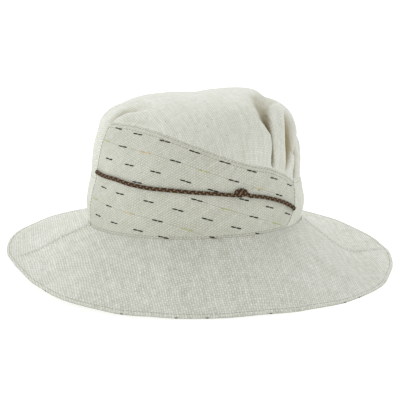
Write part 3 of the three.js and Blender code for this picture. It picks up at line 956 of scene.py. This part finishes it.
def crown_top():
    """Upper crown, from its seams over the band and the panel up to the tip."""
    mesh = MESHES["crown_top"]
    plain = hemmed(*mesh["across"])[:-len(EDGE_ROWS) - 1] * PLEATS_FROM
    panel_places = np.concatenate([plain, np.linspace(PLEATS_FROM, 1, PLEAT_COUNTS[0])])
    beside = np.linspace(0, PLEATS_TO, PLEAT_COUNTS[1])[1:]
    band_places = np.concatenate([beside, np.linspace(PLEATS_TO, 1, BAND_COUNT)[1:]])
    band_azimuth = mix(right_seam(BAND_HEIGHT), left_seam(BAND_HEIGHT) + 360, band_places)
    corner = PANEL_HEIGHT * PANEL_TOP[0]["rise"]
    seam_heights = np.linspace(band_top(LEFT_SEAM["azimuth"]), corner, SEAM_COUNT)[1:-1]
    panel_heights = panel_top_height(panel_places)
    azimuth = np.concatenate([
        panel_azimuth(panel_places, panel_heights),
        band_azimuth,
        left_seam(seam_heights) + 360,
    ])
    height = np.concatenate([panel_heights, band_top(band_azimuth), seam_heights])
    rows = hemmed(*mesh["up"], (True, False))[:-1] ** CROWN_ROW_POWER
    low = climb_at(azimuth, height)
    climb = mix(low[None, :], 1.0, rows[:, None])
    around = np.broadcast_to(azimuth[None, :], climb.shape)
    bare = crown_skin(around, climb)
    drop = edge_drop(bare, closed=True, pole=True)
    face = crown_skin(around, climb, -drop)
    back = crown_skin(around, climb, -CROWN_CLOTH + BACK_DROP * drop)
    pole = crown_skin(np.full(2, FRONT), np.ones(2), np.array([0, -CROWN_CLOTH]))
    out = (1 - climb) * PATTERN_RADIUS
    out = np.where(out > PRESSED_FROM, PRESSED_FROM + PATTERN_PRESS * (out - PRESSED_FROM), out)
    uv = on_grain(out * np.cos(np.radians(around)), out * np.sin(np.radians(around)), mesh["grain"])
    # Painted shade deep in the folds, kept on the mesh as the crease attribute
    crease = fold_relief(around, climb)[2] * above_seam(around, crown_height_at(around, climb))
    piece = cloth_piece("crown_top", face, back, uv, CLOTHS["crown_cloth"], True, pole, crease)
    declare(piece, "plain_cloth", "crown_top")


def wall_piece(name, azimuth, height, cloth, slot):
    bare = wall_skin(azimuth, height)
    drop = edge_drop(bare)
    face = wall_skin(azimuth, height, -drop)
    back = wall_skin(azimuth, height, -CROWN_CLOTH + BACK_DROP * drop)
    uv = on_grain(azimuth / DEGREES_PER_MM, height * WALL_STRETCH, MESHES[name]["grain"])
    declare(cloth_piece(name, face, back, uv, CLOTHS[cloth]), slot, name)


def net_places(name):
    """Places across a piece of cloth, as one row, and rows up it, as one column."""
    return hemmed(*MESHES[name]["across"])[None, :], hemmed(*MESHES[name]["up"])[:, None]


def front_panel():
    places, rows = net_places("front_panel")
    height = mix(-SEAM_TUCK, panel_top_height(places) + SEAM_OVERLAP, rows)
    azimuth = panel_azimuth(places, height)
    wall_piece("front_panel", azimuth, height, "dashed_cloth", "dashed_cloth")


def back_band():
    places, rows = net_places("back_band")
    top = band_top(mix(right_seam(BAND_HEIGHT), left_seam(BAND_HEIGHT) + 360, places))
    height = mix(-SEAM_TUCK, top + SEAM_OVERLAP, rows)
    azimuth = mix(right_seam(height), left_seam(height) + 360, places)
    wall_piece("back_band", azimuth, height, "crown_cloth", "plain_cloth")


def brim_azimuth(seam_from, seam_to, turn, place, share):
    start = mix(*seam_from, share)
    return mix(start, mix(*seam_to, share) + turn, place)


def brim_half(name, seam_from, seam_to, turn):
    places, rows = net_places(name)
    azimuth = brim_azimuth(seam_from, seam_to, turn, places, rows)
    azimuth = azimuth - mix(1, -1, places) * SEAM_OVERLAP * DEGREES_PER_MM
    share = np.broadcast_to(rows, azimuth.shape)
    low = UNDER_BRIM_CLOTH + SEAM_GAP
    bare = brim_skin(azimuth, share, low)
    drop = edge_drop(bare)
    face = brim_skin(azimuth, share, low + UPPER_BRIM_CLOTH - drop)
    uv = on_grain(bare[..., 0], bare[..., 1], MESHES[name]["grain"])
    piece = cloth_piece(name, face, bare, uv, CLOTHS["plain_cloth"])
    declare(piece, "plain_cloth", name)


def underbrim():
    places = np.linspace(0, 1, 361)[:-1]
    front = [BRIM_SEAMS["left"], BRIM_SEAMS["right"], 0]
    rear = [BRIM_SEAMS["right"], BRIM_SEAMS["left"], 360]
    rows = hemmed(*MESHES["underbrim"]["up"])[:, None]
    azimuth = np.hstack([brim_azimuth(*half, places[None, :], rows) for half in (front, rear)])
    share = np.broadcast_to(rows, azimuth.shape)
    bare = brim_skin(azimuth, share, 0)
    drop = edge_drop(bare, closed=True)
    face = brim_skin(azimuth, share, UNDER_BRIM_CLOTH)
    back = brim_skin(azimuth, share, drop * UNDERSIDE_DROP)
    uv = on_grain(bare[..., 0], bare[..., 1], MESHES["underbrim"]["grain"])
    piece = cloth_piece("underbrim", face, back, uv, CLOTHS["dashed_cloth"], True)
    declare(piece, "dashed_cloth", "underbrim")


# A stitch or stroke is a stretched bead with this outline: place along it and thickness there
BEAD = named("along girth", [
    (-1, 0),
    (-0.9, 0.55),
    (-0.62, 0.9),
    (0, 1),
    (0.62, 0.9),
    (0.9, 0.55),
    (1, 0),
])
BEAD_SIDES = 8


def beads(name, centres, ways, normals, length, width, height, material):
    """One mesh of equal beads, each at a centre and laid along a way on a surface with that normal."""
    turns = np.arange(BEAD_SIDES) * 2 * math.pi / BEAD_SIDES
    rings = BEAD[1:-1]
    outline = [
        (row["along"], row["girth"] * np.cos(t), row["girth"] * np.sin(t)) for row in rings for t in turns
    ]
    template = np.array([(-1, 0, 0), *outline, (1, 0, 0)])
    number = 1 + np.arange(len(rings) * BEAD_SIDES).reshape(len(rings), BEAD_SIDES)
    skin = quads(number, True)[:, ::-1]
    last = len(template) - 1
    caps = [(0, number[0, k], number[0, (k + 1) % BEAD_SIDES]) for k in range(BEAD_SIDES)]
    caps += [(last, number[-1, (k + 1) % BEAD_SIDES], number[-1, k]) for k in range(BEAD_SIDES)]
    ways = unit(ways)
    sides = unit(np.cross(normals, ways))
    normals = np.cross(ways, sides)
    spans = np.stack([ways * length / 2, sides * width / 2, normals * height / 2], 1)
    vertices = centres[:, None, :] + np.einsum("vk,nkc->nvc", template, spans)
    starts = np.arange(len(centres)) * len(template)
    faces = (skin[None] + starts[:, None, None]).reshape(-1, 4).tolist()
    faces += (np.array(caps)[None] + starts[:, None, None]).reshape(-1, 3).tolist()
    uv = np.stack([template[:, 1] * 0.5, template[:, 0] * length / 2], -1)
    spread = np.arange(len(centres))[:, None, None] * np.array([3.1, 7.3])
    return new_object(name, vertices.reshape(-1, 3), faces, (uv[None] + spread).reshape(-1, 2), [material])


STITCH_PITCH = 3
STITCH_LENGTH = 2.3
STITCH_WIDTH = 0.5
STITCH_HEIGHT = 0.35
# Lines of stitches: their distances below the panel's top and the band's, over the crown's foot, and
# beside the panel's side seams and the brim's. The rim's is a share of the brim's width.
PANEL_TOP_STITCHES = (1.3, 3.8)
BAND_TOP_STITCHES = 1.8
FOOT_STITCHES = 1.8
PANEL_SIDE_STITCHES = 0.8
RIM_STITCHES = 0.968
SIDE_SEAM_STITCHES = 1.7
# The brim's slope is measured over this turn in degrees and this share of its width
BRIM_TURN = 0.3
BRIM_STEP = 0.02


def lengths(points):
    """Length along a line of points up to each of them."""
    steps = np.linalg.norm(np.diff(points, axis=0), axis=1)
    return np.concatenate([[0], np.cumsum(steps)])


def along_line(places, along, values):
    """Rows of values at places along a line, from those of its points and their lengths along it."""
    return np.stack([np.interp(places, along, values[:, k]) for k in range(values.shape[1])], -1)


def stitch_run(points, normals):
    """Centres, ways and normals of the stitches along a line of points on the cloth."""
    along = lengths(points)
    places = np.arange(STITCH_PITCH / 2, along[-1], STITCH_PITCH)
    ahead = along_line(places + 0.5, along, points) - along_line(places - 0.5, along, points)
    return along_line(places, along, points), ahead, unit(along_line(places, along, normals))


def joined(runs):
    """The stitches of several lines, one line after the other."""
    return [np.concatenate(parts) for parts in zip(*(stitch_run(*run) for run in runs))]


def stitched(name, runs, thread):
    piece = beads(name, *joined(runs), STITCH_LENGTH, STITCH_WIDTH, STITCH_HEIGHT, YARNS[thread])
    declare(piece, "plain_cloth")


def crown_line(azimuth, height):
    points = wall_skin(azimuth, height)
    return points, outward(azimuth, climb_at(azimuth, np.maximum(height, 0)))


def brim_ways(azimuth, share, depth):
    """Ways round the brim and out over it, at places in its cloth."""
    along = brim_skin(azimuth + BRIM_TURN, share, depth) - brim_skin(azimuth - BRIM_TURN, share, depth)
    outer = brim_skin(azimuth, np.minimum(share + BRIM_STEP, 1), depth)
    return along, outer - brim_skin(azimuth, share - BRIM_STEP, depth)


def brim_line(azimuth, share):
    depth = UNDER_BRIM_CLOTH + SEAM_GAP + UPPER_BRIM_CLOTH
    along, outer = brim_ways(azimuth, share, depth)
    return brim_skin(azimuth, share, depth), unit(np.cross(outer, along))


def crown_stitches():
    share = np.linspace(0.005, 0.995, 400)
    top = panel_top_height(share)
    around = panel_azimuth(share, top)
    runs = [crown_line(around, top - below) for below in PANEL_TOP_STITCHES]
    foot = panel_azimuth(share, FOOT_STITCHES)
    runs.append(crown_line(foot, np.full_like(foot, FOOT_STITCHES)))
    back = mix(RIGHT_SEAM["azimuth"] + 0.6, LEFT_SEAM["azimuth"] + 359.4, share)
    runs.append(crown_line(back, band_top(back) - BAND_TOP_STITCHES))
    runs.append(crown_line(back, np.full_like(back, FOOT_STITCHES)))
    stitched("crown_stitches", runs, "seam_thread")
    # The side seams' stitches are real thread, darkened with painted shade of the groove between panel and
    # band
    sides = []
    for seam, high, aside in (
        (left_seam, PANEL_HEIGHT - 4, PANEL_SIDE_STITCHES),
        (right_seam, BAND_HEIGHT - 3, -PANEL_SIDE_STITCHES),
    ):
        height = np.linspace(2, high, 80)
        sides.append(crown_line(seam(height) + aside * DEGREES_PER_MM, height))
    stitched("panel_side_stitches", sides, "dull_thread")


def brim_stitches():
    azimuth = np.linspace(0, 360, 900)
    stitched("rim_stitches", [brim_line(azimuth, np.full_like(azimuth, RIM_STITCHES))], "seam_thread")
    runs = []
    share = np.linspace(0.03, 0.92, 80)
    for seam in BRIM_SEAMS.values():
        for aside in (-SIDE_SEAM_STITCHES, SIDE_SEAM_STITCHES):
            radius = mix(HALF_WIDTH, HALF_WIDTH + BRIM_SIDE_WIDTH, share)
            runs.append(brim_line(mix(*seam, share) + np.degrees(aside / radius), share))
    stitched("side_seam_stitches", runs, "pale_thread")


def stroke_pairs(centres, ways, normals):
    """The two strokes of each dash, end to end and a little stepped."""
    sides = unit(np.cross(normals, ways))
    reach = (STROKE_LENGTH + STROKE_GAP) / 2
    low = centres - ways * reach + sides * STROKE_STEP / 2
    high = centres + ways * reach - sides * STROKE_STEP / 2
    return np.concatenate([low, high]), np.concatenate([ways, ways]), np.concatenate([normals, normals])


DASH_WIDTHS = {"dark": 1.12, "yellow": 0.85, "orange": 0.85}
DASH_FLATNESS = 0.55
FLOAT_LENGTH = 3.1
FLOAT_WIDTH = 0.26
FLOAT_MARGIN = 3
# Dashes on the brim's underside: spacing of their rows, the rows' turn, where they lie as shares of the
# brim's width, and how far a dash may miss its place
UNDERBRIM_ROW_SPACING = 12.2
UNDERBRIM_TURN = -20
UNDERBRIM_SHARES = np.arange(0.08, 0.92, 0.01)
UNDERBRIM_MISS = 1.2
# Ends of dashes at the rim: their depth in the brim and their size
FLECK_DEPTH = 1.1
FLECK_SIZE = (2.4, 0.9, 0.7)


def dash_strokes(name, centres, ways, normals, colour):
    strokes = stroke_pairs(centres, ways, normals)
    width = DASH_WIDTHS[colour]
    piece = beads(name, *strokes, STROKE_LENGTH, width, width * DASH_FLATNESS, YARNS[f"{colour}_thread"])
    declare(piece, "dashed_cloth")


def dash_height(row, turn):
    return row["height"] + eased(DASH_SLOPE, "turn", "drop", np.asarray(turn, float))


def panel_dashes():
    """Dashes in rows that run down to the right, half a spacing on from one row to the next."""
    for colour in DASH_WIDTHS:
        places = [(turn, row) for row in DASH_ROWS for turn in row.get(colour, ())]
        azimuth = np.array([FRONT + turn for turn, _ in places])
        height = np.array([dash_height(row, turn) for turn, row in places])
        ahead = np.array([dash_height(row, turn + 1) for turn, row in places])
        centres, normals = crown_line(azimuth, height)
        along = wall_skin(azimuth + 1, ahead) - centres
        along = unit(along - normals * np.sum(along * normals, axis=1, keepdims=True))
        slope = math.radians(STROKE_TURN)
        ways = along * math.cos(slope) + np.cross(normals, along) * math.sin(slope)
        dash_strokes(f"panel_dashes_{colour}", centres, ways, normals, colour)


def panel_floats():
    """Thin threads that float over the panel along some of the rows of dashes."""
    runs = []
    for number in FLOAT_ROWS:
        turn = np.linspace(*FLOAT_TURNS, 300)
        height = dash_height(DASH_ROWS[number], turn)
        azimuth = FRONT + turn
        place = (azimuth - left_seam(height)) / (right_seam(height) - left_seam(height))
        inside = (place > 0.02) & (place < 0.98) & (height > FLOAT_MARGIN)
        inside &= height < panel_top_height(np.clip(place, 0, 1)) - FLOAT_MARGIN
        runs.append(crown_line(azimuth[inside], height[inside]))
    threads = joined(runs)
    piece = beads("panel_floats", *threads, FLOAT_LENGTH, FLOAT_WIDTH, FLOAT_WIDTH, YARNS["pale_thread"])
    declare(piece, "dashed_cloth")


def underbrim_dashes():
    """The same dashes on the brim's underside, in straight rows across its flat pattern."""
    angle = math.radians(UNDERBRIM_TURN)
    cos, sin = math.cos(angle), math.sin(angle)
    found = []
    for row in range(-14, 15):
        for count in range(-8, 9):
            x = (count + (row % 2) / 2) * DASH_SPACING
            y = row * UNDERBRIM_ROW_SPACING
            across, back = x * cos - y * sin, x * sin + y * cos
            turn = math.atan2(back / (HALF_DEPTH + BRIM_FRONT_WIDTH), across / (HALF_WIDTH + BRIM_SIDE_WIDTH))
            azimuth = math.degrees(turn)
            points = brim_underside(np.full_like(UNDERBRIM_SHARES, azimuth), UNDERBRIM_SHARES)
            away = np.hypot(points[:, 0] - across, points[:, 1] - back)
            if away.min() < UNDERBRIM_MISS:
                bright = row % 2 == 1 and (count + row // 2) % 2 == 0
                found.append((azimuth, UNDERBRIM_SHARES[away.argmin()], "yellow" if bright else "dark"))
    azimuth, share, colours = (np.array(values) for values in zip(*found))
    centres = brim_skin(azimuth, share, DASH_DEPTH)
    along, outer = brim_ways(azimuth, share, 0)
    normals = unit(np.cross(along, outer))
    flat = np.tile([cos, sin, 0], (len(found), 1))
    ways = unit(flat - normals * np.sum(flat * normals, axis=1, keepdims=True))
    for colour in ("dark", "yellow"):
        chosen = colours == colour
        strokes = centres[chosen], ways[chosen], normals[chosen]
        dash_strokes(f"underbrim_dashes_{colour}", *strokes, colour)


def rim_flecks():
    """Ends of the underbrim's dashes that come out at the rim."""
    azimuth = np.array(RIM_FLECKS, float)
    rim = np.ones_like(azimuth)
    centres = brim_skin(azimuth, rim, FLECK_DEPTH)
    ways, outer = brim_ways(azimuth, rim, FLECK_DEPTH)
    piece = beads("rim_flecks", centres, ways, unit(outer), *FLECK_SIZE, YARNS["dark_thread"])
    declare(piece, "dashed_cloth")


def curve_through(points, count):
    """Even steps along a smooth curve through a list of points."""
    points = np.asarray(points, float)
    ahead = np.vstack([2 * points[0] - points[1], points, 2 * points[-1] - points[-2]])
    fine = []
    for k in range(len(points) - 1):
        p0, p1, p2, p3 = ahead[k:k + 4]
        t = np.linspace(0, 1, 24, endpoint=False)[:, None]
        bend = (2 * p0 - 5 * p1 + 4 * p2 - p3) * t**2 + (3 * p1 - p0 - 3 * p2 + p3) * t**3
        fine.append(0.5 * (2 * p1 + (p2 - p0) * t + bend))
    fine.append(points[-1:])
    fine = np.concatenate(fine)
    along = lengths(fine)
    return along_line(np.linspace(0, along[-1], count), along, fine)


def carried_frames(points, start):
    """Ways along a curve and the two directions square to it, turned no more than the curve turns."""
    ways = unit(np.gradient(points, axis=0))
    side = start - ways[0] * (start @ ways[0])
    sides = []
    for way in ways:
        side = side - way * (side @ way)
        side = side / np.linalg.norm(side)
        sides.append(side)
    sides = np.array(sides)
    return ways, sides, np.cross(ways, sides)


PLAIT_PITCH = 5.6
PLAIT_SPREAD = 0.85
PLAIT_DEPTH = 0.5
STRAND_RADIUS = 0.78
STRAND_SIDES = 9


def plait(name, courses):
    """Three strands plaited along each course, a course being points with their sides and normals."""
    vertices, faces, uv, picks = [], [], [], []
    first = 0
    for points, sides, normals in courses:
        along = lengths(points)
        for strand in range(3):
            phase = 2 * math.pi * (along / PLAIT_PITCH + strand / 3)
            aside = PLAIT_SPREAD * np.sin(phase)[:, None]
            out = PLAIT_DEPTH * np.sin(2 * phase)[:, None]
            centre = points + sides * aside + normals * out
            _, across, over = carried_frames(centre, normals[0])
            turns = np.arange(STRAND_SIDES) * 2 * math.pi / STRAND_SIDES
            cos, sin = np.cos(turns)[None, :, None], np.sin(turns)[None, :, None]
            ring = across[:, None] * cos + over[:, None] * sin
            skin = centre[:, None] + ring * STRAND_RADIUS
            number = first + np.arange(skin.shape[0] * STRAND_SIDES).reshape(-1, STRAND_SIDES)
            vertices.append(skin.reshape(-1, 3))
            round_it = np.broadcast_to(turns / (2 * math.pi) * 3, number.shape)
            down_it = np.broadcast_to(along[:, None], number.shape)
            uv.append(np.stack([round_it, down_it], -1).reshape(-1, 2))
            body = quads(number, True).tolist()
            ends = [number[0][::-1].tolist(), number[-1].tolist()]
            faces += body + ends
            picks += [min(strand, 1)] * (len(body) + 2)
            first += number.size
    vertices, uv = np.concatenate(vertices), np.concatenate(uv)
    piece = new_object(name, vertices, faces, uv, [YARNS["brown_braid"], YARNS["dark_braid"]], picks)
    declare(piece, "braid", name)


KNOT_LOOP = [
    (-14.6, 0, 0), (-11.4, 0.1, 0.6), (-7.4, 0, 2), (-3.4, 1.3, 2.5), (-2.1, 3.1, 1.8), (-4.4, 4.2, 0.9),
    (-8, 3.6, 0.3), (-10.4, 2, 0.1), (-9.4, 0.2, 0.5), (-7.4, 1.4, 2.1), (-5.2, 2.3, 2.3), (-3, 1.2, 0.9),
    (-1, 1.2, 0.4), (1, 0.6, 0.1), (3.6, 0, 0),
]


# The cord's route counts this many mm of height as a degree. Its ends sink into the cloth over a share of
# its length, the rest is pressed into it a little, and it stops short of the knot on either side.
ROUTE_SCALE = 1.5
CORD_END = 0.012
CORD_SINK = 1.6
CORD_PRESS = 0.35
KNOT_REACH = (13.8, 2.8)


def braided_cord():
    """Cord from seam to seam across the panel, with an overhand knot in it. Its ends sink into the seams."""
    route = curve_through(
        [(row["azimuth"], row["rise"] * PANEL_HEIGHT / ROUTE_SCALE) for row in CORD_ROUTE], 700
    )
    azimuth = route[:, 0]
    height = route[:, 1] * ROUTE_SCALE
    share = np.linspace(0, 1, len(azimuth))
    clear = smooth(0, CORD_END, share) * smooth(0, CORD_END, 1 - share)
    lift = mix(-CORD_SINK, CORD_DIAMETER / 2 - CORD_PRESS, clear)
    points = wall_skin(azimuth, height, lift)
    normals = outward(azimuth, climb_at(azimuth, height))
    ways = unit(np.gradient(points, axis=0))
    sides = unit(np.cross(normals, ways))
    knot_centre = sum(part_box("cord_knot"), Vector()) / 2 / MM
    middle = int(np.argmin(np.linalg.norm(points - np.array(knot_centre), axis=1)))
    step = np.linalg.norm(points[middle + 1] - points[middle])
    before, after = (int(reach / step) for reach in KNOT_REACH)
    runs = [slice(0, middle - before), slice(middle + after, None)]
    plait("braided_cord", [(points[r], sides[r], normals[r]) for r in runs])
    axes = np.stack([ways[middle], sides[middle], normals[middle]])
    loop = points[middle] + curve_through(KNOT_LOOP, 150) @ axes
    _, around, over = carried_frames(loop, sides[middle])
    plait("cord_knot", [(loop, around, over)])


# Loose fibres at the cord's ends and knot: azimuth and height of the middle of each, and the way it
# points, in degrees up from level
WISPS = named("azimuth height way", [
    (332.6, 15.4, 70),
    (331.8, 13.6, 35),
    (206.5, 47.4, 150),
    (299.5, 36.2, 75),
    (303.4, 34.6, 20),
    (293.6, 34.4, 125),
])
WISP_LENGTH = 2.6
WISP_WIDTH = 0.24
WISP_LIFT = 0.9


def cord_wisps():
    azimuth, height = column(WISPS, "azimuth"), column(WISPS, "height")
    centres = wall_skin(azimuth, height, WISP_LIFT)
    normals = outward(azimuth, climb_at(azimuth, height))
    level = unit(np.cross([0, 0, 1], normals))
    angle = np.radians(column(WISPS, "way"))[:, None]
    ways = level * np.cos(angle) + np.cross(normals, level) * np.sin(angle)
    size = WISP_LENGTH, WISP_WIDTH, WISP_WIDTH
    declare(beads("cord_wisps", centres, ways, normals, *size, YARNS["dark_thread"]), "braid")


crown_top()
front_panel()
back_band()
brim_half("brim_front", BRIM_SEAMS["left"], BRIM_SEAMS["right"], 0)
brim_half("brim_back", BRIM_SEAMS["right"], BRIM_SEAMS["left"], 360)
underbrim()
crown_stitches()
brim_stitches()
panel_dashes()
panel_floats()
underbrim_dashes()
rim_flecks()
braided_cord()
cord_wisps()

# Floor, light and camera
TARGET = Vector((0, 0, 0.04717))
CAMERA_ELEVATION = 15.5
CAMERA_DISTANCE = 1.5
PICTURE_SIDE = 400
MM_PER_PIXEL = 0.814
FLOOR_COLOUR = (0.4, 0.4, 0.395, 1)
FLOOR_GLOW = (1, 1, 0.995, 1)
FLOOR_GLOW_STRENGTH = 0.74
AIR_STRENGTH = 0.6
COOL = (0.96, 0.98, 1.04)
LIGHTS = named("name place size power colour", [
    ("back_top", (-0.3, 1.6, 1.9), (2.4, 1.6), 36, COOL),
    ("left_side", (-2.1, 0.2, 1.0), (1.8, 1.8), 18, COOL),
    ("right_side", (2.1, 0.6, 1.0), (1.8, 1.8), 18, COOL),
    ("front_fill", (-0.4, -2.6, 0.9), (2.0, 1.4), 15, (1, 1, 1)),
])


def floor():
    bpy.ops.mesh.primitive_plane_add(size=16, location=(0, 0, 0))
    plane = bpy.context.object
    plane.name = "floor"
    material, _, shader = new_material("floor_paper", {"Roughness": 0.9, "Specular IOR Level": 0.1})
    shader.inputs["Base Color"].default_value = FLOOR_COLOUR
    shader.inputs["Emission Color"].default_value = FLOOR_GLOW
    shader.inputs["Emission Strength"].default_value = FLOOR_GLOW_STRENGTH
    plane.data.materials.append(material)


def panel_light(name, place, size, power, colour):
    light = bpy.data.lights.new(name, "AREA")
    light.shape = "RECTANGLE"
    light.size, light.size_y = size
    light.energy = power
    light.color = colour
    lamp = bpy.data.objects.new(name, light)
    lamp.location = place
    lamp.rotation_euler = (TARGET - Vector(place)).to_track_quat("-Z", "Y").to_euler()
    bpy.context.scene.collection.objects.link(lamp)


def studio():
    world = bpy.data.worlds.new("studio")
    bpy.context.scene.world = world
    world.use_nodes = True
    net = Net(world.node_tree)
    air = net.add("ShaderNodeBackground", {"Color": (1, 1, 1, 1), "Strength": AIR_STRENGTH})
    net.add("ShaderNodeOutputWorld", {"Surface": air.outputs[0]})
    for light in LIGHTS:
        panel_light(**light)


def camera():
    lens = bpy.data.cameras.new("camera")
    lens.sensor_width = 36
    lens.lens = lens.sensor_width * CAMERA_DISTANCE / (MM_PER_PIXEL * MM * PICTURE_SIDE)
    eye = bpy.data.objects.new("camera", lens)
    rise = math.radians(CAMERA_ELEVATION)
    back = Vector((0, -math.cos(rise), math.sin(rise)))
    eye.location = TARGET + back * CAMERA_DISTANCE
    eye.rotation_euler = (-back).to_track_quat("-Z", "Y").to_euler()
    bpy.context.scene.collection.objects.link(eye)
    bpy.context.scene.camera = eye


floor()
studio()
camera()
bpy.context.scene.view_settings.view_transform = "Standard"
